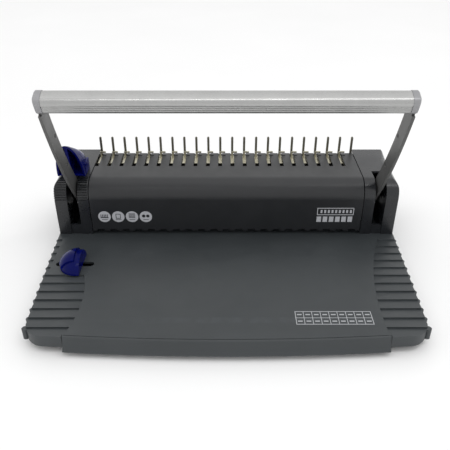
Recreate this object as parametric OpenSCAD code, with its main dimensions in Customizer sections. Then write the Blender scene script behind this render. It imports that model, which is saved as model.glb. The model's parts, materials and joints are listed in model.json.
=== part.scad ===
// Manual comb binding machine for A4 sheets: one lever punches the sheets and opens the comb.
// Origin: floor level under the centre of the base. +X right, +Y to the rear, +Z up, millimetres.

/* [Comb] */
// Spacing of the comb holes, tines and hooks (9/16 inch)
pitch = 14.2875; // [14.2:0.0125:14.3]
// Number of holes punched along the sheet
hole_count = 21; // [21:1:21]
// Height of the tine tips above the floor
tine_tip_z = 104.5; // [100:0.5:110]
// Width of one tine
tine_w = 2.7; // [2:0.1:3.4]

/* [Base] */
// Width across the base, without the edge bumps
base_w = 381.6; // [378:0.6:386]
// Depth of the base at its middle
base_d = 291.9; // [288:0.1:294]
// Height of the deck that the sheets lie on
deck_z = 20; // [20:0.1:20.4]
// Radius of the bowed front edge, seen from above
front_r = 2000; // [1800:50:2600]
// Spacing of the shingled ribs on the wings
rib_pitch = 13.2; // [12.5:0.1:13.6]
// Depth of one rib step
rib_step = 1.6; // [1:0.1:2]

/* [Body] */
// Length of the sheet edge that the body takes
sheet_w = 297; // [290:1:297]
// Height of the body above the floor
body_z = 84; // [83.8:0.1:85]
// Radius of the body's front shoulder
shoulder_r = 19; // [16:1:20]
// Height of the slit that the sheets go into
throat_h = 4.2; // [4.2:0.1:4.2]

/* [Handle] */
// Angle that the handle swings through, in degrees
handle_swing = 50; // [44:1:50]
// Width of the curved arms
arm_w = 19; // [17:0.5:20]
// Thickness of the arms
arm_t = 3; // [2.5:0.1:3]
// Radius of the arms' centre line
arm_bend_r = 539; // [539:1:539]

/* [Hidden] */
$fn = 48;
eps = 0.01;

// Body and base planes
wall = 2.5;
skin = 2.3;
foot_h = 5;
floor_z = foot_h + wall;
deck_under_z = deck_z - wall;
rear_y = 148.3;
front_y = rear_y - base_d;
seam_x = sheet_w / 2 + 4.2;
seam_gap = 0.7;
side_x = seam_x + 37.5;
gap_in_x = seam_x + 11.8;
gap_out_x = seam_x + 23.9;
body_front_y = 32;
top_edge_y = 113;
window_x = 149.5;
window_y = [43, 130];

// Side taper of the base: half width falls by this much per millimetre towards the front
taper = 0.034;
taper_start_y = 30;
corner_r = 20;
corner_c = [base_w / 2 - 25.5, front_y + 26.7];
rear_corner_r = 8;
bump_r = 3;
bump_out = 1.7;
rib_first_y = -124.7;
rib_rows = 12;
left_full_rows = 7;
lip_x = 148;
lip_angle = asin(lip_x / front_r);

// Drive: one shaft carries the arms and the two bell cranks
pivot = [68, 44.5];
shaft_r = 6;
bush_gap = 0.05;
half_swing = handle_swing / 2;
punch_crank_r = 11.8;
hook_crank_r = 30;
crank_pin_r = 2.2;
crank_x = [134, 138];
fork_x = [129, 132];
frame_x = [147, 149];
arm_x = 166.5;
arm_centre = [473.1, 400.2];
bar_at = [-26.7, 198.3];
bar_lean = 22;
bar_end_x = 164.4;
cap_x = 171.2;
punch_pin_at = pivot + punch_crank_r * [-cos(half_swing), sin(half_swing)];
hook_pin_at = pivot + hook_crank_r * [sin(half_swing), cos(half_swing)];
spring_lug_r = 16;
spring_x = 142;
anchor_z = 12;

// Punch set
pin_y = 49;
pin_size = [7.9, 2.9];
pin_gap = 0.1;
die_y = [43, 55.5];
die_t = 5;
guide_z = deck_z + throat_h;
guide_t = 5;
pin_tip_z = guide_z + 0.4;
pin_top_z = 46;
punch_bar_y = [44.5, 53.5];
punch_bar_z = [42, 54];

// Hook set
hook_z = 79;
hook_t = 1.6;
hook_y = [92, 111.5];
slot_w = 4.2;
slot_y = 77.6;
tine_y = 113.4;
tine_t = 1.6;
tine_foot_z = 80;

// Sliding stops
knob_at = [-164, -26.8];
knob_slot_x = [-180.4, -140.1];
knob_slot_w = 7.6;
stop_mid_x = -172.6;
stop_rail_x = [-174, -167.4];
stop_screw_at = [(stop_rail_x[0] + stop_rail_x[1]) / 2, 69];

post_spots = [[172, -108], [178, 12], [172, 125]];
foot_spots = [[160, -112], [165, 134]];
boss_spots = [[170, 104], [158.6, 42]];
boss_r = 4;

// ---------- helpers ----------

// Extrudes a (y, z) outline along X
module along_x(x0, x1) {
    translate([x0, 0, 0]) rotate([90, 0, 90]) linear_extrude(x1 - x0) children();
}

// Extrudes an (x, z) outline along Y
module along_y(y0, y1) {
    translate([0, y1, 0]) rotate([90, 0, 0]) linear_extrude(y1 - y0) children();
}

// A box from its lowest corner to its highest corner
module block(low, high) {
    translate(low) cube(high - low);
}

module both_sides() {
    children();
    mirror([1, 0, 0]) children();
}

// A cylinder along X through the point at = [y, z]
module rod(at, r, x0, x1) {
    along_x(x0, x1) translate(at) circle(r);
}

// A closed skin over a row of loops that have the same number of points
module skin_over(loops) {
    last = len(loops) - 1;
    sides = len(loops[0]);
    walls = [for (i = [0:last - 1], j = [0:sides - 1])
        let (a = i * sides + j, b = i * sides + (j + 1) % sides)
        each [[a, b, b + sides], [a, b + sides, a + sides]]];
    ends = [[for (j = [sides - 1:-1:0]) j], [for (j = [0:sides - 1]) last * sides + j]];
    polyhedron([for (loop = loops) each loop], concat(walls, ends));
}

function arc(centre, r, from, to, steps) =
    [for (i = [0:steps]) let (a = from + (to - from) * i / steps) centre + r * [cos(a), sin(a)]];
function hole_x(i) = (i - (hole_count - 1) / 2) * pitch;
function tine_x(i) = (i - hole_count / 2) * pitch;
function half_width(y) = base_w / 2 - taper * max(0, taper_start_y - y);
function front_edge_y(x) = front_y + front_r - sqrt(front_r * front_r - x * x);

// Plan outline of the base, pulled in by inset
function half_outline(inset) = concat(
    [for (x = [0:10:160]) [x, front_edge_y(x) + inset]],
    arc(corner_c, corner_r - inset, -85, -2, 10),
    [[base_w / 2 - inset, taper_start_y], [base_w / 2 - inset, rear_y - rear_corner_r]],
    arc([base_w / 2 - rear_corner_r, rear_y - rear_corner_r], rear_corner_r - inset, 0, 90, 6),
    [[0, rear_y - inset]]);

module base_outline(inset) {
    polygon(half_outline(inset));
    mirror([1, 0]) polygon(half_outline(inset));
}

// Side outline of the body with its round front shoulder
module body_outline(inset, bottom, rear) {
    r = shoulder_r - inset;
    centre = [body_front_y + shoulder_r, body_z - shoulder_r];
    translate(centre) circle(r, $fn = 96);
    translate([body_front_y + inset, bottom]) square([rear - body_front_y - inset, centre[1] - bottom]);
    translate([centre[0], bottom]) square([rear - centre[0], body_z - inset - bottom]);
}

// Sloping back of the body
module back_slope(inset) {
    polygon([[0, 0], [0, 100], [123 - inset, 100], [123 - inset, body_z - inset + eps],
        [128 - inset, body_z - 3 - inset], [146 - inset, 30], [146 - inset, 0]]);
}

// ---------- base ----------

module base_pan() {
    color("dimgray") difference() {
        union() {
            translate([0, 0, foot_h]) linear_extrude(wall) pan_plan();
            translate([0, 0, foot_h]) linear_extrude(9) difference() {
                pan_plan();
                pan_inside_plan();
                translate([-lip_x - 3, front_y - 5]) square([2 * lip_x + 6, 60]);
            }
            both_sides() block([146.2, -118, floor_z - eps], [147.8, 42, 13]);
        }
        both_sides() {
            for (p = post_spots) translate([p[0], p[1], 0]) {
                cylinder(r = 1.8, h = 20);
                cylinder(r = 3.2, h = foot_h + 1.5);
            }
            for (p = foot_spots) translate([p[0], p[1], 0]) cylinder(r = 3.1, h = 20);
        }
        for (y = [-90, 134]) translate([0, y, 0]) cylinder(r = 3.1, h = 20);
    }
}

module pan_plan() {
    intersection() {
        base_outline(4.5);
        translate([-base_w, front_y + 9]) square([2 * base_w, base_d]);
    }
}

module pan_inside_plan() {
    intersection() {
        base_outline(6.5);
        translate([-base_w, front_y + 11]) square([2 * base_w, base_d]);
    }
}

module deck_cover() {
    color([0.29, 0.31, 0.32]) difference() {
        union() {
            translate([0, 0, deck_under_z]) linear_extrude(wall) base_outline(0);
            translate([0, 0, floor_z]) linear_extrude(deck_under_z - floor_z + eps) difference() {
                base_outline(0);
                base_outline(wall);
            }
            translate([0, 0, floor_z]) linear_extrude(deck_z - rib_step - floor_z) edge_bumps();
            both_sides() {
                block([lip_x + 0.4, -138, floor_z], [lip_x + 2.6, -116, deck_under_z + eps]);
                for (p = post_spots) translate([p[0], p[1], floor_z]) cylinder(r = 4, h = 10.2);
            }
        }
        translate([0, 0, -eps]) linear_extrude(deck_z + 1) lip_room();
        block([-window_x, window_y[0], 0], [window_x, window_y[1], deck_z + 1]);
        intersection() {
            rib_cuts(rib_rows);
            translate([512.4, -112, 0]) cylinder(r = 366.6, h = 40, $fn = 360);
        }
        intersection() {
            rib_cuts(left_full_rows);
            translate([-290, -91, 0]) cylinder(r = 150, h = 40, $fn = 240);
        }
        difference() {
            rib_cuts(rib_rows);
            block([-half_width(0) + 5, -200, 0], [400, 200, 40]);
            block([-400, -200, 0], [0, rib_first_y + left_full_rows * rib_pitch - 10, 40]);
        }
        translate([0, 0, 10]) linear_extrude(20) knob_slot();
        both_sides() {
            for (p = post_spots) translate([p[0], p[1], 0]) cylinder(r = 1.5, h = 16);
            for (p = boss_spots) translate([p[0], p[1], 0]) cylinder(r = 1.7, h = 30);
        }
    }
}

// The strip that the drawer's front lip takes out of the deck's front edge
module lip_room() {
    difference() {
        translate([-lip_x - 0.4, front_y - 10]) square([2 * lip_x + 0.8, 30]);
        translate([0, front_y + front_r]) circle(front_r - 2.9, $fn = 1440);
    }
}

// Saw-tooth steps: each rib is highest at its front edge
module rib_cuts(rows) {
    for (k = [0:rows - 1])
        along_x(-200, 200) polygon([
            [rib_first_y + (k - 1) * rib_pitch, deck_z + eps],
            [rib_first_y + k * rib_pitch, deck_z + eps],
            [rib_first_y + k * rib_pitch, deck_z - rib_step]]);
}

module edge_bumps() {
    for (k = [0:rib_rows - 1], side = [-1, 1]) {
        y = rib_first_y + k * rib_pitch;
        x = (k == 0 ? corner_c[0] + corner_r + 0.8 : half_width(y)) + bump_out - bump_r;
        translate([side * x, y]) circle(bump_r, $fn = 24);
    }
}

module knob_slot() {
    r = knob_slot_w / 2;
    translate([knob_slot_x[0] + r, knob_at[1] - r])
        square([knob_slot_x[1] - knob_slot_x[0] - knob_slot_w, knob_slot_w]);
    for (x = [knob_slot_x[0] + r, knob_slot_x[1] - r]) translate([x, knob_at[1]]) circle(r);
}

module rubber_feet() {
    color([0.1, 0.1, 0.1]) {
        both_sides() for (p = foot_spots) translate([p[0], p[1], 0]) foot();
        for (y = [-90, 134]) translate([0, y, 0]) foot();
    }
}

module foot() {
    cylinder(r1 = 7, r2 = 8.5, h = foot_h);
    cylinder(r = 3, h = floor_z);
}

module base_screws() {
    color("silver") both_sides() for (p = post_spots) translate([p[0], p[1], foot_h]) {
        cylinder(r = 3, h = 1.5);
        cylinder(r = 1.4, h = 10);
    }
}

module chip_drawer() {
    drawer_x = 145.5;
    drawer_rear_y = 75;
    tray_z = floor_z + 0.4;
    color([0.27, 0.28, 0.29]) {
        difference() {
            translate([0, 0, tray_z]) linear_extrude(6.5) drawer_plan(drawer_x, drawer_rear_y);
            translate([0, 0, tray_z + 1.5]) linear_extrude(10) drawer_plan(drawer_x - 2, drawer_rear_y - 2);
        }
        translate([0, front_y + front_r, 0]) rotate([0, 0, -90 - lip_angle])
            rotate_extrude(angle = 2 * lip_angle, $fn = 1440) lip_section();
    }
}

module drawer_plan(x, rear) {
    intersection() {
        translate([-x, front_y - 5]) square([2 * x, rear - front_y + 5]);
        translate([0, front_y + front_r]) circle(front_r - 0.5, $fn = 1440);
    }
}

// Section through the drawer's front lip: a concave face that flares at the bottom
module lip_section() {
    translate([front_r, 0]) polygon([[-2.6, deck_z], [-0.8, deck_z], [0, deck_z - 0.8],
        [0, deck_z - 3], [0.3, deck_z - 5.5], [0.9, deck_z - 8], [1.9, deck_z - 10.5],
        [3.2, deck_z - 12.7], [4.7, deck_z - 14.2], [3.4, deck_z - 14.7], [1, deck_z - 13],
        [-0.9, deck_z - 11], [-1.9, deck_z - 8], [-2.6, deck_z - 4]]);
}

// ---------- body ----------

module front_cover() {
    bottom = deck_z + throat_h;
    color([0.3, 0.31, 0.33]) difference() {
        along_x(-seam_x + seam_gap, seam_x - seam_gap) difference() {
            body_outline(0, bottom, top_edge_y);
            body_outline(wall, bottom - 1, top_edge_y + 1);
        }
        for (i = [0:hole_count - 1]) {
            translate([tine_x(i) - slot_w / 2, slot_y, 70]) cube([slot_w, 60, 30]);
            translate([tine_x(i), 105.2, 70]) cube([6.2, 1.6, 30]);
            translate([hole_x(i) - 3.95, 20, 0]) cube([7.9, 30, bottom + 1.8]);
        }
    }
}

// Shape shared by both end covers, modelled on the right side
module end_cover(slot_length) {
    difference() {
        intersection() {
            along_x(seam_x, side_x) intersection() {
                body_outline(0, deck_z, rear_y);
                back_slope(0);
            }
            sides_of_cover(0);
        }
        difference() {
            intersection() {
                along_x(seam_x + skin, side_x - skin) intersection() {
                    body_outline(skin, deck_z - 1, rear_y);
                    back_slope(skin);
                }
                sides_of_cover(skin);
            }
            for (x = [gap_in_x - skin, gap_out_x]) block([x, 0, 0], [x + skin, 84, 100]);
            block([gap_in_x, 0, 0], [gap_out_x, body_front_y + 3.5, 32]);
            for (p = boss_spots) translate([p[0], p[1], deck_z - 2]) cylinder(r = boss_r, h = 70);
        }
        block([gap_in_x, 0, 32], [gap_out_x, 64, 100]);
        block([gap_in_x, 0, 0], [gap_out_x, body_front_y + 1, 40]);
        for (p = boss_spots) translate([p[0], p[1], 0]) cylinder(r = 1.5, h = deck_z + 15);
        rod(pivot, shaft_r + 0.8, seam_x - 1, gap_in_x + 1);
        block([-stop_rail_x[1], 60, 70], [-stop_rail_x[0], 60 + slot_length, 100]);
    }
}

// The outer top edge's round shrinks towards the rear corner
module sides_of_cover(inset) {
    along_y(0, 96) round_side(8, inset);
    hull() {
        along_y(95.9, 96) round_side(8, inset);
        along_y(119, rear_y + 5) round_side(2.5, inset);
    }
}

// Front view of the end cover's outer side with its rounded top edge
module round_side(r, inset) {
    translate([seam_x - 1, 0]) square([side_x - r - seam_x + 1, body_z - inset]);
    translate([seam_x - 1, 0]) square([side_x - inset - seam_x + 1, body_z - r]);
    translate([side_x - r, body_z - r]) circle(max(r - inset, 0.2));
}

module right_end_cover() {
    color([0.27, 0.28, 0.3]) end_cover(4);
}

module left_end_cover() {
    color([0.27, 0.28, 0.3]) mirror([1, 0, 0]) difference() {
        end_cover(34);
        for (k = [0:10]) shoulder_groove(k);
    }
}

// Fine grooves over the left cover's shoulder, spaced along its round and its front
module shoulder_groove(k) {
    step = 2.8;
    round_length = shoulder_r * PI / 2;
    along = k * step + 2;
    centre = [body_front_y + shoulder_r, body_z - shoulder_r];
    turn = min(90, along / round_length * 90);
    drop = max(0, along - round_length);
    at = centre + (shoulder_r - 0.5) * [-sin(turn), cos(turn)] - [0, drop];
    rod(at, 0.95, seam_x + 1, side_x + 1);
}

module rear_cover() {
    color([0.27, 0.28, 0.3]) along_x(-seam_x, seam_x) polygon([
        [116.5, 79.5], [120.5, 79.5], [124.5, 70.5], [132.5, 70.5], [146, 30], [146, deck_z],
        [143.5, deck_z], [143.5, 29.5], [130.7, 68], [122.9, 68], [118.9, 77], [116.5, 77]]);
}

module cover_screws() {
    color("silver") both_sides() for (p = boss_spots) translate([p[0], p[1], deck_under_z]) {
        translate([0, 0, -1.6]) cylinder(r = 3, h = 1.6);
        cylinder(r = 1.4, h = 15);
    }
}

// ---------- frame and punch set ----------

module side_frame() {
    difference() {
        union() {
            block([frame_x[0], 44, floor_z], [frame_x[1], tine_y, 76]);
            rod([pivot[0] + spring_lug_r, anchor_z], 1.5, spring_x - 3, frame_x[0] + eps);
            block([frame_x[0] - 8, 88, floor_z], [frame_x[1], 108, floor_z + 2]);
        }
        block([frame_x[0] - 1, 40, deck_z - 0.2], [frame_x[1] + 1, 61, guide_z]);
        block([frame_x[0] - 1, 40, guide_z + 12], [frame_x[1] + 1, 50, 80]);
        block([frame_x[0] - 1, 90, 30], [frame_x[1] + 1, 104, 60]);
        rod(pivot, 9, frame_x[0] - 1, frame_x[1] + 1);
    }
}

module right_side_frame() {
    color("lightslategray") side_frame();
}

module left_side_frame() {
    color("lightslategray") mirror([1, 0, 0]) side_frame();
}

module rear_tie_rod() {
    color("silver") rod([104, 22], 4, -frame_x[0], frame_x[0]);
}

module shaft_bush() {
    difference() {
        union() {
            rod(pivot, 9, frame_x[0], frame_x[1]);
            rod(pivot, 11, frame_x[0] - 2, frame_x[0]);
        }
        rod(pivot, shaft_r + bush_gap, 100, 200);
    }
}

module right_shaft_bush() {
    color("wheat") shaft_bush();
}

module left_shaft_bush() {
    color("wheat") mirror([1, 0, 0]) shaft_bush();
}

module punched_plate(z0, z1) {
    difference() {
        block([-frame_x[0], die_y[0], z0], [frame_x[0], die_y[1], z1]);
        for (i = [0:hole_count - 1])
            translate([hole_x(i) - pin_size[0] / 2 - pin_gap, pin_y - pin_size[1] / 2 - pin_gap, z0 - 1])
                cube([pin_size[0] + 2 * pin_gap, pin_size[1] + 2 * pin_gap, z1 - z0 + 2]);
    }
}

module die_plate() {
    color("gainsboro") punched_plate(deck_z - die_t, deck_z);
}

module punch_guide_plate() {
    color("gainsboro") punched_plate(guide_z, guide_z + guide_t);
}

module paper_depth_stop() {
    color("silver") block([-frame_x[0], die_y[1], deck_z - die_t],
        [frame_x[0], die_y[1] + 2, guide_z + guide_t]);
}

module comb_rail() {
    color([0.3, 0.3, 0.28]) block([-152, tine_y, 62], [152, tine_y + tine_t, tine_foot_z]);
}

module comb_tines() {
    color([0.3, 0.3, 0.28]) along_y(tine_y, tine_y + tine_t) for (i = [0:hole_count]) {
        translate([tine_x(i) - tine_w / 2, tine_foot_z])
            square([tine_w, tine_tip_z - tine_w / 2 - tine_foot_z]);
        translate([tine_x(i), tine_tip_z - tine_w / 2]) circle(tine_w / 2, $fn = 16);
    }
}

module hook_guide_rails() {
    color("wheat") both_sides() block([139.5, 62, 74], [frame_x[0], 110, hook_z - 0.3]);
}

module punch_bar() {
    slot_half = crank_pin_r + 0.3;
    color("silver") difference() {
        union() {
            block([-141, punch_bar_y[0], punch_bar_z[0]], [141, punch_bar_y[1], punch_bar_z[1]]);
            both_sides() block([fork_x[0], 50, 43], [fork_x[1], pivot[0] - shaft_r - 1, 57]);
        }
        for (i = [0:hole_count - 1])
            translate([hole_x(i) - pin_size[0] / 2, pin_y - pin_size[1] / 2, punch_bar_z[0] - 1])
                cube([pin_size[0], pin_size[1], pin_top_z - punch_bar_z[0] + 1]);
        both_sides() {
            block([fork_x[0] - 1, 53.7, punch_pin_at[1] - slot_half],
                [fork_x[1] + 1, 70, punch_pin_at[1] + slot_half]);
            block([crank_x[0] - 1, 51.8, 40], [crank_x[1] + 1, 60, 60]);
        }
    }
}

module punch_pins() {
    color("gray") for (i = [0:hole_count - 1])
        translate([hole_x(i) - pin_size[0] / 2, pin_y - pin_size[1] / 2, pin_tip_z])
            cube([pin_size[0], pin_size[1], pin_top_z - pin_tip_z]);
}

module hook_plate() {
    slot_half = crank_pin_r + 0.35;
    top = hook_z + hook_t;
    color([0.8, 0.78, 0.68]) {
        block([-151.8, hook_y[0], hook_z], [146, hook_y[1], top]);
        both_sides() {
            block([124.5, 74, hook_z], [133.5, hook_y[0] + eps, top]);
            difference() {
                block([fork_x[0], hook_pin_at[0] - 6, 67], [fork_x[1], hook_pin_at[0] + 6, hook_z + eps]);
                block([fork_x[0] - 1, hook_pin_at[0] - slot_half, 60],
                    [fork_x[1] + 1, hook_pin_at[0] + slot_half, hook_z - 0.4]);
            }
        }
    }
}

// Tabs that stand in the cover's slots, each with a finger towards +X
module comb_hooks() {
    base = hook_z + hook_t;
    color([0.8, 0.78, 0.68]) for (i = [0:hole_count - 1]) translate([tine_x(i), 0, 0])
        along_y(hook_y[1] - 3.5, hook_y[1] - 2) polygon([[-1.1, base], [1.1, base],
            [1.1, base + 5.6], [5.6, base + 5.6], [6, base + 6.4], [5.6, base + 7.6], [-1.1, base + 7.6]]);
}

// ---------- handle ----------

module main_shaft() {
    color("silver") {
        rod(pivot, shaft_r, -arm_x - arm_t, arm_x + arm_t);
        rod(pivot, 4, -arm_x - arm_t - 5, arm_x + arm_t + 5);
    }
}

module bell_crank() {
    lug_w = 8;
    difference() {
        along_x(crank_x[0], crank_x[1]) {
            translate(pivot) circle(11);
            crank_lug(90 - half_swing, punch_crank_r, 6.4);
            translate(punch_pin_at) circle(3.2);
            crank_lug(-half_swing, hook_crank_r, 7.2);
            translate(hook_pin_at) circle(3.6);
            crank_lug(-90, spring_lug_r + 2.5, lug_w);
        }
        rod(pivot, shaft_r, 100, 200);
    }
    rod(punch_pin_at, crank_pin_r, fork_x[0] - 0.5, crank_x[0] + 0.5);
    rod(hook_pin_at, crank_pin_r, fork_x[0] - 0.5, crank_x[0] + 0.5);
    rod(pivot + [spring_lug_r, 0], 1.3, crank_x[1] - 0.5, spring_x + 2.5);
}

// A straight lug from the shaft; the angle counts from straight up, positive towards the front
module crank_lug(angle, length, width) {
    translate(pivot) rotate([0, 0, angle]) translate([-width / 2, 0]) square([width, length]);
}

module right_bell_crank() {
    color("slategray") bell_crank();
}

module left_bell_crank() {
    color("slategray") mirror([1, 0, 0]) bell_crank();
}

// Puts a (y, z) outline at the bar's middle and leans it with the bar
module at_bar() {
    translate(bar_at) rotate(bar_lean) children();
}

// A curved strip arm with an eye on the shaft, a tongue in the bar's cap and two rivet holes
module arm() {
    low_angle = 180 + asin((arm_centre[1] - pivot[1]) / arm_bend_r);
    high_angle = 181 + bar_lean;
    reach = arm_bend_r + 30;
    difference() {
        along_x(arm_x, arm_x + arm_t) {
            intersection() {
                difference() {
                    translate(arm_centre) circle(arm_bend_r + arm_w / 2, $fn = 360);
                    translate(arm_centre) circle(arm_bend_r - arm_w / 2, $fn = 360);
                }
                polygon([arm_centre, arm_centre + reach * [cos(low_angle), sin(low_angle)],
                    arm_centre + reach * [cos(high_angle), sin(high_angle)]]);
            }
            translate(pivot) circle(11);
            at_bar() translate([-6.5, -10]) square([13, 15]);
        }
        rod(pivot, shaft_r, 100, 200);
        rod(bar_at, 2.2, 100, 200);
        for (p = [[-1.6, 155], [23.7, 112]]) rod(p, 2.2, 100, 200);
    }
}

module right_arm() {
    color("darkgray") arm();
}

module left_arm() {
    color("darkgray") mirror([1, 0, 0]) arm();
}

module arm_nuts() {
    color("silver") both_sides() difference() {
        along_x(arm_x + arm_t, arm_x + arm_t + 4) translate(pivot) circle(7.5, $fn = 6);
        rod(pivot, 4, 100, 200);
    }
}

// Aluminium section: round top, flat front with grooves, and a screw port in the middle
module handle_bar() {
    color([0.75, 0.75, 0.74]) translate([0, bar_at[0], bar_at[1]]) rotate([bar_lean, 0, 0])
        along_x(-bar_end_x, bar_end_x) difference() {
            bar_outline(0);
            difference() {
                bar_outline(1.8);
                circle(4);
                translate([-1, -9]) square([2, 18]);
            }
            circle(2.1);
            for (k = [0:3]) translate([-9.2, -5 + k * 2.2]) circle(0.85, $fn = 16);
        }
}

module bar_outline(inset) {
    half = [9, 8.75];
    r = 6;
    for (a = [-1, 1], b = [-1, 1])
        translate([a * (half[0] - r), b * (half[1] - r)]) circle(r - inset);
    square([2 * (half[0] - inset), 2 * (half[1] - r)], center = true);
    square([2 * (half[0] - r), 2 * (half[1] - inset)], center = true);
}

// End cap over the bar's end and the arm's tongue, open below so that the arm's outer face shows
module bar_cap() {
    slice = 0.05;
    steps = [[bar_end_x, -0.4, 0], [cap_x - 1.3, -0.4, 0], [cap_x - 0.6, 0.8, 0.6], [cap_x - slice, 2.4, 1.6]];
    difference() {
        for (k = [0:2]) hull() for (j = [k, k + 1])
            along_x(steps[j][0], steps[j][0] + slice)
                at_bar() translate([0, steps[j][2]]) bar_outline(steps[j][1]);
        along_x(arm_x + arm_t, cap_x + 1) at_bar() translate([-12, -20]) square([24, 14.8]);
        along_x(arm_x - 0.1, arm_x + arm_t + 0.1) at_bar() translate([-6.6, -20]) square([13.2, 25.1]);
        rod(bar_at, 2.3, bar_end_x - 1, cap_x + 1);
        rod(bar_at, 4.1, arm_x + arm_t + 0.1, cap_x + 1);
    }
}

module right_bar_cap() {
    color("silver") bar_cap();
}

module left_bar_cap() {
    color("silver") mirror([1, 0, 0]) bar_cap();
}

module bar_screws() {
    color("gray") both_sides() {
        rod(bar_at, 2, bar_end_x - 14, arm_x + arm_t + 0.2);
        rod(bar_at, 3.9, arm_x + arm_t + 0.1, cap_x - 0.3);
    }
}

// ---------- springs ----------

// Points up the spring: a straight tail, the coils, and a straight tail
function spring_path(z0, z1, r, turns) = concat([[0, 0, z0], [0, 0, z0 + 1.4]],
    [for (i = [0:turns * 10]) [r * cos(i * 36), r * sin(i * 36), z0 + 3 + (z1 - z0 - 6) * i / (turns * 10)]],
    [[0, 0, z1 - 1.4], [0, 0, z1]]);

function unit(v) = v / norm(v);
function heading(path, i) = unit(path[min(i + 1, len(path) - 1)] - path[max(i - 1, 0)]);
function side_of(d) = unit(cross(d, abs(d[2]) > 0.9 ? [1, 0, 0] : [0, 0, 1]));
function ring(path, i, r, sides) =
    let (d = heading(path, i), u = side_of(d), v = cross(d, u))
    [for (j = [0:sides - 1]) path[i] + r * (cos(360 * j / sides) * u + sin(360 * j / sides) * v)];

module wire(path, r, sides) {
    skin_over([for (i = [0:len(path) - 1]) ring(path, i, r, sides)]);
}

module return_spring() {
    translate([spring_x, pivot[0] + spring_lug_r, 0])
        wire(spring_path(anchor_z + 1.7, pivot[1] - 1.5, 2.8, 8), 0.55, 6);
}

module right_return_spring() {
    color("silver") return_spring();
}

module left_return_spring() {
    color("silver") mirror([1, 0, 0]) return_spring();
}

// ---------- sliding stops ----------

// A round dome cut flat on its right, with a raised thumb pad at its rear left
module paper_stop_knob() {
    base = deck_z + 0.3;
    flat_x = knob_at[0] + 12.3;
    color("mediumblue") difference() {
        union() {
            knob_dome(21, base, [-200, -60], [flat_x, 10]);
            knob_dome(22.8, base, [-200, -40], [flat_x - 5.8, 10]);
            translate([knob_at[0], knob_at[1], 17.2]) cylinder(r = 2.3, h = 6);
        }
        translate([knob_at[0], knob_at[1], 10]) cylinder(r = 1.3, h = 20);
    }
}

module knob_dome(r, base, low, high) {
    centre = [knob_at[0] + 8.6, knob_at[1] - 1.4];
    intersection() {
        translate([centre[0], centre[1], 14.6]) sphere(r, $fn = 96);
        translate([centre[0], centre[1], base]) cylinder(r = 20, h = 30, $fn = 96);
        block([low[0], low[1], base], [high[0], high[1], 60]);
    }
}

module paper_stop_plate() {
    color("dimgray") difference() {
        block([knob_at[0] - 7, knob_at[1] - 9, 14.8], [knob_at[0] + 7, knob_at[1] + 9, 17.2]);
        translate([knob_at[0], knob_at[1], 10]) cylinder(r = 1.5, h = 20);
        translate([knob_at[0], knob_at[1], 10]) cylinder(r = 3.1, h = 6.4);
    }
}

module paper_stop_screw() {
    color("silver") translate([knob_at[0], knob_at[1], 14.8]) {
        cylinder(r = 3, h = 1.5);
        cylinder(r = 1.25, h = 12);
    }
}

// Arches of the hood from its front rim to its back:
// y at the base, forward lean, half width, height and squareness
hood_sections = [[51, 8.5, 15.4, 40.3, 2], [54, 6, 15.4, 37.8, 2.2], [58, 3, 15.4, 33.5, 2.6],
    [63, 1, 15.3, 29, 3], [69, 0, 15, 24.5, 3], [75, 0, 14.2, 17, 2.8], [79.5, 0, 12.4, 6.5, 2.4]];

// One arch of the hood, pulled in by inset
function hood_arch(section, inset, base) =
    let (w = section[2] - inset, h = section[3] - inset, power = 2 / section[4])
    [for (a = [0:7.5:180])
        let (z = h * pow(abs(sin(a)), power), side = cos(a) < 0 ? -1 : 1)
        [stop_mid_x + side * w * pow(abs(cos(a)), power),
            section[0] - section[1] * z / section[3], base + z]];

// Hollow hood that leans forward over the arm, with a web down its middle and a floor
module opening_stop() {
    base = body_z + 0.3;
    color("mediumblue") {
        difference() {
            skin_over([for (section = hood_sections) hood_arch(section, 0, base)]);
            skin_over([for (k = [0:5])
                hood_arch(hood_sections[k] - [k == 0 ? 1 : 0, 0, 0, 0, 0], 2, base - 1)]);
        }
        intersection() {
            skin_over([for (section = hood_sections)
                hood_arch(section + [0.6, 0, 0, 0, 0], 0.5, base)]);
            block([stop_mid_x - 1.7, 30, base], [stop_mid_x + 1.7, 79, 150]);
        }
        block([stop_mid_x - 14.6, 52.5, base], [stop_mid_x + 14.6, 75, base + 1.8]);
        block([stop_mid_x + 13, 56, base], [stop_mid_x + 15.9, 73, base + 12.6]);
        difference() {
            block([stop_rail_x[0] + 0.3, 62, 80.9], [stop_rail_x[1] - 0.3, 76, base + 2.2]);
            translate([stop_screw_at[0], stop_screw_at[1], 70]) cylinder(r = 1.3, h = 15);
        }
    }
}

module opening_stop_clip() {
    color("dimgray") difference() {
        block([-gap_out_x + 0.4, 58, 78.6], [-gap_in_x - 0.4, 80, 80.9]);
        translate([stop_screw_at[0], stop_screw_at[1], 70]) cylinder(r = 1.5, h = 15);
    }
}

module opening_stop_screw() {
    color("silver") translate([stop_screw_at[0], stop_screw_at[1], 77]) {
        cylinder(r = 3, h = 1.6);
        cylinder(r = 1.25, h = 7);
    }
}

base_pan();
deck_cover();
rubber_feet();
base_screws();
chip_drawer();
front_cover();
left_end_cover();
right_end_cover();
rear_cover();
cover_screws();
left_side_frame();
right_side_frame();
rear_tie_rod();
left_shaft_bush();
right_shaft_bush();
die_plate();
punch_guide_plate();
paper_depth_stop();
comb_rail();
comb_tines();
hook_guide_rails();
main_shaft();
left_bell_crank();
right_bell_crank();
left_arm();
right_arm();
arm_nuts();
handle_bar();
left_bar_cap();
right_bar_cap();
bar_screws();
punch_bar();
punch_pins();
hook_plate();
comb_hooks();
left_return_spring();
right_return_spring();
paper_stop_knob();
paper_stop_plate();
paper_stop_screw();
opening_stop();
opening_stop_clip();
opening_stop_screw();
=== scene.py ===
import json
import math

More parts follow.
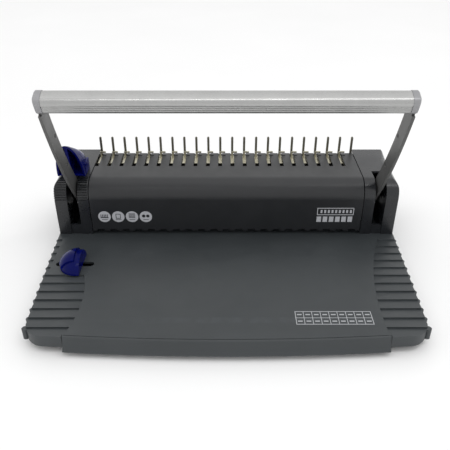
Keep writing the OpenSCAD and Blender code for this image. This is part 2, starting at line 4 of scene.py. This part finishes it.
import bmesh
import bpy
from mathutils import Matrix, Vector


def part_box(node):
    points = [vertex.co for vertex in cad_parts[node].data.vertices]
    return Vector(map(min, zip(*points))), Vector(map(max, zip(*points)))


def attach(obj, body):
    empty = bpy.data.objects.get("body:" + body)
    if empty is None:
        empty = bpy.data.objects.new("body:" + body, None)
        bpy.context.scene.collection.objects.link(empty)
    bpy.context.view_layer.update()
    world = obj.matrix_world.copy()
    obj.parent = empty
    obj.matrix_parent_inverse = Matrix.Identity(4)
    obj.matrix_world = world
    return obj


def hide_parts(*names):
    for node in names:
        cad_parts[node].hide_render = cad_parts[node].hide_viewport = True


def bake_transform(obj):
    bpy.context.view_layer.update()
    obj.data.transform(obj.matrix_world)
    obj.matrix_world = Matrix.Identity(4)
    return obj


MM = 0.001

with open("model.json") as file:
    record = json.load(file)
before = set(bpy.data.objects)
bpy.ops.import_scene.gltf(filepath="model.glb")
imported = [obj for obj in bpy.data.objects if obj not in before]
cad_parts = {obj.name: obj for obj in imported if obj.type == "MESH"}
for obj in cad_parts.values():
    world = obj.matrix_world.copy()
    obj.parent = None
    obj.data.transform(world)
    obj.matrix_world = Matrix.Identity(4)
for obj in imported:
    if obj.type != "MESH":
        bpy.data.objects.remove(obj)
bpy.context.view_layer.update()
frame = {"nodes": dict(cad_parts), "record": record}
nodes = frame["nodes"]
body_of_node = {n: b for b, group in frame["record"]["behaviour"]["bodies"].items() for n in group}
slot_of_node = {s["node"]: s["material_slot"] for s in frame["record"]["subparts"]}


# ---------- camera ----------

# The camera stands in front of the machine and looks down on it
CAMERA_AT = (-0.0015, -0.517, 0.375)
CAMERA_DOWN = 32.0
CAMERA_LENS = 45.6


def make_camera():
    data = bpy.data.cameras.new("camera")
    data.lens = CAMERA_LENS
    data.sensor_width = 36.0
    data.dof.use_dof = False
    camera = bpy.data.objects.new("camera", data)
    camera.location = CAMERA_AT
    camera.rotation_euler = (math.radians(90.0 - CAMERA_DOWN), 0.0, 0.0)
    bpy.context.scene.collection.objects.link(camera)
    bpy.context.scene.camera = camera


# ---------- materials ----------

BARE_STEEL = (0.5, 0.5, 0.5)


def new_material(name):
    material = bpy.data.materials.new(name)
    material.use_nodes = True
    tree = material.node_tree
    shader = tree.nodes["Principled BSDF"]
    return material, tree, shader


def noise(tree, scale, detail=2.0, roughness=0.5, stretch=(1.0, 1.0, 1.0)):
    """A noise texture in object space, so its grain is in metres and doesn't depend on UVs."""
    place = tree.nodes.new("ShaderNodeTexCoord")
    mapping = tree.nodes.new("ShaderNodeMapping")
    mapping.inputs["Scale"].default_value = stretch
    texture = tree.nodes.new("ShaderNodeTexNoise")
    texture.inputs["Scale"].default_value = scale
    texture.inputs["Detail"].default_value = detail
    texture.inputs["Roughness"].default_value = roughness
    tree.links.new(place.outputs["Object"], mapping.inputs["Vector"])
    tree.links.new(mapping.outputs["Vector"], texture.inputs["Vector"])
    return texture.outputs["Fac"]


# Takes a value from one range to another; noise hardly leaves its default range here
def remap(tree, value, low, high, from_low=0.3, from_high=0.7):
    node = tree.nodes.new("ShaderNodeMapRange")
    node.inputs["From Min"].default_value = from_low
    node.inputs["From Max"].default_value = from_high
    node.inputs["To Min"].default_value = low
    node.inputs["To Max"].default_value = high
    tree.links.new(value, node.inputs["Value"])
    return node.outputs["Result"]


def mix_colour(tree, factor, first, second):
    """Mixes two colours, each a tuple or a socket. The colour sockets of a mix node are 6, 7 and 2."""
    node = tree.nodes.new("ShaderNodeMix")
    node.data_type = "RGBA"
    tree.links.new(factor, node.inputs["Factor"])
    for socket, value in ((node.inputs[6], first), (node.inputs[7], second)):
        if isinstance(value, tuple):
            socket.default_value = (*value, 1.0)
        else:
            tree.links.new(value, socket)
    return node.outputs[2]


def product(tree, first, second):
    node = tree.nodes.new("ShaderNodeMath")
    node.operation = "MULTIPLY"
    tree.links.new(first, node.inputs[0])
    tree.links.new(second, node.inputs[1])
    return node.outputs[0]


def edge_mask(tree, low=0.52, high=0.6):
    """1 on outer edges, 0 on flats."""
    geometry = tree.nodes.new("ShaderNodeNewGeometry")
    return remap(tree, geometry.outputs["Pointiness"], 0.0, 1.0, low, high)


def bump(tree, shader, height, distance, strength=1.0, before=None):
    node = tree.nodes.new("ShaderNodeBump")
    node.inputs["Strength"].default_value = strength
    node.inputs["Distance"].default_value = distance
    tree.links.new(height, node.inputs["Height"])
    if before is not None:
        tree.links.new(before, node.inputs["Normal"])
    tree.links.new(node.outputs["Normal"], shader.inputs["Normal"])
    return node.outputs["Normal"]


def shade(colour, factor):
    return tuple(min(1.0, c * factor) for c in colour)


def mottled(tree, colour, scale, detail, dark, pale):
    """A colour that drifts between a darker and a paler shade in soft clouds."""
    cloud = remap(tree, noise(tree, scale, detail), 0.0, 1.0)
    return mix_colour(tree, cloud, shade(colour, dark), shade(colour, pale))


def moulded_plastic(name, colour, roughness=0.5, grain=2600.0, grain_depth=0.00002, specular=0.5, wear=0.5):
    """Moulded plastic: spark-eroded grain, faint flow marks, rubbed patches and paler worn edges."""
    material, tree, shader = new_material(name)
    shader.inputs["Specular IOR Level"].default_value = specular
    specks = remap(tree, noise(tree, 900.0, 2.0), 0.0, 0.25, 0.35, 0.75)
    tone = mix_colour(tree, specks, mottled(tree, colour, 14.0, 3.0, 0.93, 1.07), shade(colour, 1.4))
    rubbed = remap(tree, noise(tree, 120.0, 2.0), 0.0, wear, 0.35, 0.7)
    worn_edge = product(tree, edge_mask(tree), rubbed)
    tree.links.new(mix_colour(tree, worn_edge, tone, shade(colour, 1.8)), shader.inputs["Base Color"])
    rough = remap(tree, noise(tree, 30.0, 4.0, 0.6), roughness - 0.06, roughness + 0.08)
    tree.links.new(rough, shader.inputs["Roughness"])
    grains = bump(tree, shader, noise(tree, grain, 1.0), grain_depth)
    bump(tree, shader, noise(tree, 45.0, 1.0), 0.00001, 0.5, before=grains)
    return material


def metal(name, colour, roughness, stretch=(1.0, 1.0, 1.0), scale=900.0, depth=0.000008, stain=0.9):
    """Worked metal: a grain drawn out along the working direction, with stains and brighter edges."""
    material, tree, shader = new_material(name)
    shader.inputs["Metallic"].default_value = 1.0
    patch = mottled(tree, colour, 60.0, 4.0, stain, 1.0)
    edged = mix_colour(tree, edge_mask(tree), patch, shade(colour, 1.25))
    tree.links.new(edged, shader.inputs["Base Color"])
    grain = noise(tree, scale, 3.0, 0.6, stretch)
    tree.links.new(remap(tree, grain, roughness - 0.07, roughness + 0.07), shader.inputs["Roughness"])
    bump(tree, shader, grain, depth)
    return material


def glossy_plastic(name, colour, roughness=0.16):
    """Polished coloured plastic with faint sink marks, soft clouds of tone and fine handling scratches."""
    material, tree, shader = new_material(name)
    shader.inputs["Specular IOR Level"].default_value = 0.08
    shader.inputs["Coat Weight"].default_value = 0.03
    shader.inputs["Coat Roughness"].default_value = 0.12
    tone = mottled(tree, colour, 35.0, 2.0, 0.85, 1.15)
    edged = mix_colour(tree, edge_mask(tree, 0.53, 0.66), tone, shade(colour, 1.8))
    tree.links.new(edged, shader.inputs["Base Color"])
    scratches = noise(tree, 500.0, 3.0, 0.6, (1.0, 6.0, 1.0))
    tree.links.new(remap(tree, scratches, roughness - 0.04, roughness + 0.1), shader.inputs["Roughness"])
    sink = bump(tree, shader, noise(tree, 90.0, 1.0), 0.00008, 0.5)
    bump(tree, shader, scratches, 0.000004, 0.6, before=sink)
    return material


def painted_metal(name, colour, roughness):
    """Satin lacquer over steel: orange peel, small chips that bare the metal along edges."""
    material, tree, shader = new_material(name)
    shader.inputs["Metallic"].default_value = 0.55
    tone = mottled(tree, colour, 25.0, 3.0, 0.92, 1.08)
    chips = remap(tree, noise(tree, 700.0, 3.0), 0.0, 0.6, 0.6, 0.72)
    chipped_edge = product(tree, chips, edge_mask(tree, 0.53, 0.6))
    tree.links.new(mix_colour(tree, chipped_edge, tone, BARE_STEEL), shader.inputs["Base Color"])
    rough = remap(tree, noise(tree, 50.0, 3.0), roughness - 0.05, roughness + 0.08)
    tree.links.new(rough, shader.inputs["Roughness"])
    bump(tree, shader, noise(tree, 1100.0, 1.0), 0.00001)
    return material


def printed(name, colour):
    """Pad print: thin matt ink with uneven cover."""
    material, tree, shader = new_material(name)
    cover = remap(tree, noise(tree, 2500.0, 2.0), 0.0, 1.0)
    tree.links.new(mix_colour(tree, cover, shade(colour, 0.85), colour), shader.inputs["Base Color"])
    tree.links.new(remap(tree, noise(tree, 400.0, 2.0), 0.5, 0.65), shader.inputs["Roughness"])
    bump(tree, shader, cover, 0.000004)
    return material


MATERIALS = {
    "deck_plastic": moulded_plastic("deck_plastic", (0.031, 0.036, 0.039), 0.45),
    "body_plastic": moulded_plastic("body_plastic", (0.012, 0.013, 0.015), 0.38),
    "cover_plastic": moulded_plastic("cover_plastic", (0.009, 0.010, 0.012), 0.27),
    "pan_plastic": moulded_plastic("pan_plastic", (0.012, 0.012, 0.013), 0.6, wear=0.2),
    "foot_rubber": moulded_plastic("foot_rubber", (0.008, 0.008, 0.008), 0.8, 1500.0, 0.00004, 0.3, 0.1),
    "screw_steel": metal("screw_steel", (0.45, 0.45, 0.45), 0.32),
    "frame_steel": metal("frame_steel", (0.40, 0.41, 0.43), 0.4, (1.0, 1.0, 12.0)),
    "tool_steel": metal("tool_steel", (0.36, 0.36, 0.37), 0.3, (12.0, 1.0, 1.0)),
    "bush_nylon": moulded_plastic("bush_nylon", (0.55, 0.51, 0.40), 0.5, wear=0.1),
    "tine_steel": metal("tine_steel", (0.24, 0.23, 0.185), 0.34, (12.0, 1.0, 1.0)),
    "hook_steel": metal("hook_steel", (0.48, 0.46, 0.37), 0.34, (1.0, 12.0, 1.0)),
    "spring_steel": metal("spring_steel", (0.5, 0.5, 0.5), 0.25),
    "arm_steel": painted_metal("arm_steel", (0.12, 0.12, 0.118), 0.45),
    "bar_aluminium": metal("bar_aluminium", (0.40, 0.40, 0.395), 0.30, (0.06, 1.0, 1.0), 1500.0, 0.000003),
    "cap_silver": painted_metal("cap_silver", (0.30, 0.30, 0.31), 0.34),
    "blue_plastic": glossy_plastic("blue_plastic", (0.001, 0.003, 0.080)),
    "print_grey": printed("print_grey", (0.50, 0.51, 0.54)),
    "print_white": printed("print_white", (0.45, 0.46, 0.48)),
}


# ---------- shells made from the CAD nodes ----------


def add_mesh(name, bm):
    mesh = bpy.data.meshes.new(name)
    bm.to_mesh(mesh)
    bm.free()
    piece = bpy.data.objects.new(name, mesh)
    bpy.context.scene.collection.objects.link(piece)
    return piece


def smooth_by_angle(piece, degrees):
    for polygon in piece.data.polygons:
        polygon.use_smooth = True
    piece.data.set_sharp_from_angle(angle=math.radians(degrees))


def give_material(piece, slot):
    piece.data.materials.clear()
    piece.data.materials.append(MATERIALS[slot])


def mesh_of(node):
    bm = bmesh.new()
    bm.from_mesh(nodes[node].data)
    bmesh.ops.remove_doubles(bm, verts=bm.verts, dist=1e-6)
    return bm


def rounded(node, radius, segments=2, corner=25.0):
    """A copy of a CAD node with its flats joined and its sharp edges rounded, in the node's place."""
    bm = mesh_of(node)
    bmesh.ops.dissolve_limit(
        bm, angle_limit=math.radians(0.4), use_dissolve_boundaries=False, verts=bm.verts, edges=bm.edges)
    piece = add_mesh(node + "_shell", bm)
    smooth_by_angle(piece, corner)
    bevel = piece.modifiers.new("edges", "BEVEL")
    bevel.width = radius * MM
    bevel.segments = segments
    bevel.limit_method = "ANGLE"
    bevel.angle_limit = math.radians(corner)
    bevel.harden_normals = True
    bevel.use_clamp_overlap = True
    give_material(piece, slot_of_node[node])
    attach(piece, body_of_node[node])
    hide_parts(node)


# Edge radius in millimetres of each node that shows
EDGE_RADII = {
    "deck_cover": 0.5,
    "chip_drawer": 0.5,
    "front_cover": 0.5,
    "left_end_cover": 0.5,
    "right_end_cover": 0.7,
    "rear_cover": 0.8,
    "left_arm": 0.35,
    "right_arm": 0.35,
    "handle_bar": 0.15,
    "left_bar_cap": 0.2,
    "right_bar_cap": 0.2,
    "comb_tines": 0.2,
    "comb_hooks": 0.2,
    "hook_plate": 0.2,
    "paper_stop_knob": 1.0,
    "opening_stop": 0.8,
    "base_pan": 0.4,
}


def stretching_spring(node):
    """A copy of a return spring, fixed where the CAD node stands, with its transform baked in."""
    piece = add_mesh(node + "_wire", mesh_of(node))
    smooth_by_angle(piece, 60.0)
    give_material(piece, slot_of_node[node])
    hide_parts(node)
    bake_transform(piece)


for name, cad in nodes.items():
    give_material(cad, slot_of_node[name])
for name, radius in EDGE_RADII.items():
    rounded(name, radius)
for name in ("left_return_spring", "right_return_spring"):
    stretching_spring(name)


# ---------- printed marks ----------

# Thickness of the printed ink
INK = 0.00012


def print_shapes(name, slot, outlines, place):
    """Thin raised prints on the machine: each outline is a list of (u, v) points in millimetres."""
    bm = bmesh.new()
    for outline in outlines:
        low = [bm.verts.new(place(u * MM, v * MM, 0.0)) for u, v in outline]
        high = [bm.verts.new(place(u * MM, v * MM, INK)) for u, v in outline]
        bm.faces.new(high)
        bm.faces.new(low[::-1])
        for k in range(len(outline)):
            after = (k + 1) % len(outline)
            bm.faces.new((low[k], low[after], high[after], high[k]))
    bmesh.ops.recalc_face_normals(bm, faces=bm.faces)
    piece = add_mesh(name, bm)
    give_material(piece, slot)
    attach(piece, "machine")


def bar(u0, v0, u1, v1):
    return [(u0, v0), (u1, v0), (u1, v1), (u0, v1)]


def disc(u, v, r, steps=40):
    turns = [2 * math.pi * k / steps for k in range(steps)]
    return [(u + r * math.cos(turn), v + r * math.sin(turn)) for turn in turns]


def frame_lines(u0, v0, u1, v1, width):
    """The four sides of a rectangular outline."""
    return [
        bar(u0, v0, u1, v0 + width), bar(u0, v1 - width, u1, v1),
        bar(u0, v0 + width, u0 + width, v1 - width), bar(u1 - width, v0 + width, u1, v1 - width)]


front_face_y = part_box("front_cover")[0].y
deck_top_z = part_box("deck_cover")[1].z


def on_front(lift):
    """Places a mark on the front cover's face, or on the ink that lies there already."""
    return lambda u, v, w: (u, front_face_y - w - lift, v)


def on_deck(u, v, w):
    return (u, v, deck_top_z + w)


DISC_PITCH = 15.5
DISC_FIRST = -137.1
DISC_Z = 43.0
DISC_R = 7.0


def make_discs():
    """Four pale discs with small signs: a comb, a sheet, a stack and two dots, each over a dash."""
    spots = [DISC_FIRST + k * DISC_PITCH for k in range(4)]
    comb_x, sheet_x, stack_x, dots_x = spots
    print_shapes("front_discs", "print_grey", [disc(x, DISC_Z, DISC_R) for x in spots], on_front(0.0))
    teeth = [comb_x - 4.2 + 1.8 * k for k in range(5)]
    signs = [bar(x, DISC_Z - 0.5, x + 0.8, DISC_Z + 3.0) for x in teeth]
    signs.append(bar(comb_x - 4.4, DISC_Z - 1.6, comb_x + 4.4, DISC_Z - 0.5))
    signs += frame_lines(sheet_x - 2.8, DISC_Z - 2.4, sheet_x + 2.8, DISC_Z + 3.8, 0.7)
    sheets = [DISC_Z - 1.4 + 1.6 * k for k in range(4)]
    signs += [bar(stack_x - 3.6, z, stack_x + 3.6, z + 0.8) for z in sheets]
    signs += [disc(dots_x + 2.3 * k, DISC_Z + 1.0, 1.9, 24) for k in (-1, 1)]
    signs += [bar(x - 3.2, DISC_Z - 4.1, x + 3.2, DISC_Z - 3.5) for x in spots]
    print_shapes("disc_signs", "body_plastic", signs, on_front(INK))


def make_badge():
    """A plain outline round nine plain blocks, over a row of six larger ones."""
    marks = frame_lines(101.7, 45.2, 142.8, 54.4, 0.8)
    marks += [bar(105.5 + 4.1 * k, 47.8, 107.6 + 4.1 * k, 51.8) for k in range(9)]
    marks += [bar(101.7 + 7.0 * k, 36.2, 106.8 + 7.0 * k, 43.2) for k in range(6)]
    print_shapes("front_badge", "print_grey", marks, on_front(0.0))


TABLE = (64.2, -121.4, 136.0, -103.1)
TABLE_COLUMNS = 9
TABLE_EDGE = 0.7
TABLE_LINE = 0.3


def make_table():
    """A printed table of nine columns and two rows, with short dashes in place of figures."""
    u0, v0, u1, v1 = TABLE
    step = (u1 - u0) / TABLE_COLUMNS
    middle = (v0 + v1) / 2
    marks = frame_lines(u0, v0, u1, v1, TABLE_EDGE)
    marks.append(bar(u0 + TABLE_EDGE, middle - TABLE_LINE, u1 - TABLE_EDGE, middle + TABLE_LINE))
    rows = ((v0 + TABLE_EDGE, middle - TABLE_LINE), (middle + TABLE_LINE, v1 - TABLE_EDGE))
    for k in range(1, TABLE_COLUMNS):
        u = u0 + k * step
        marks += [bar(u - TABLE_LINE, low, u + TABLE_LINE, high) for low, high in rows]
    for k in range(TABLE_COLUMNS):
        u = u0 + (k + 0.5) * step
        marks += [bar(u - 2.2, v - 0.7, u + 2.2, v + 0.7) for v in ((v0 + middle) / 2, (middle + v1) / 2)]
    print_shapes("deck_table", "print_white", marks, on_deck)


make_discs()
make_badge()
make_table()


# ---------- stage and lights ----------

FLOOR_HALF = 8.0
WORLD_STRENGTH = 0.95
# Name, place, what it is aimed at, size, watts
LIGHTS = (
    ("rear_softbox", (0.0, 1.9, 1.5), (0.0, 0.0, 0.05), (3.0, 1.6), 2.0),
    ("overhead", (0.0, 0.2, 1.8), (0.0, 0.0, 0.0), (2.0, 1.2), 3.0),
    ("front_strip", (0.25, -0.55, 1.35), (0.0, 0.0, 0.1), (1.6, 0.14), 3.4),
)


def make_floor():
    material, tree, shader = new_material("floor")
    cloud = remap(tree, noise(tree, 3.0, 2.0), 0.0, 1.0)
    paper = mix_colour(tree, cloud, (0.90, 0.90, 0.90), (0.92, 0.92, 0.92))
    tree.links.new(paper, shader.inputs["Base Color"])
    shader.inputs["Roughness"].default_value = 0.8
    bm = bmesh.new()
    bmesh.ops.create_grid(bm, x_segments=1, y_segments=1, size=FLOOR_HALF)
    floor = add_mesh("floor", bm)
    floor.data.materials.append(material)


def make_light(name, at, aim, size, power):
    data = bpy.data.lights.new(name, "AREA")
    data.shape = "RECTANGLE"
    data.size, data.size_y = size
    data.energy = power
    light = bpy.data.objects.new(name, data)
    light.location = at
    light.rotation_euler = (Vector(aim) - Vector(at)).to_track_quat("-Z", "Y").to_euler()
    bpy.context.scene.collection.objects.link(light)


def make_world(colour, strength):
    world = bpy.data.worlds.new("studio")
    world.use_nodes = True
    background = world.node_tree.nodes["Background"]
    background.inputs["Color"].default_value = (*colour, 1.0)
    background.inputs["Strength"].default_value = strength
    bpy.context.scene.world = world


make_camera()
make_floor()
make_world((1.0, 1.0, 1.0), WORLD_STRENGTH)
for light in LIGHTS:
    make_light(*light)
bpy.context.scene.view_settings.view_transform = "Standard"
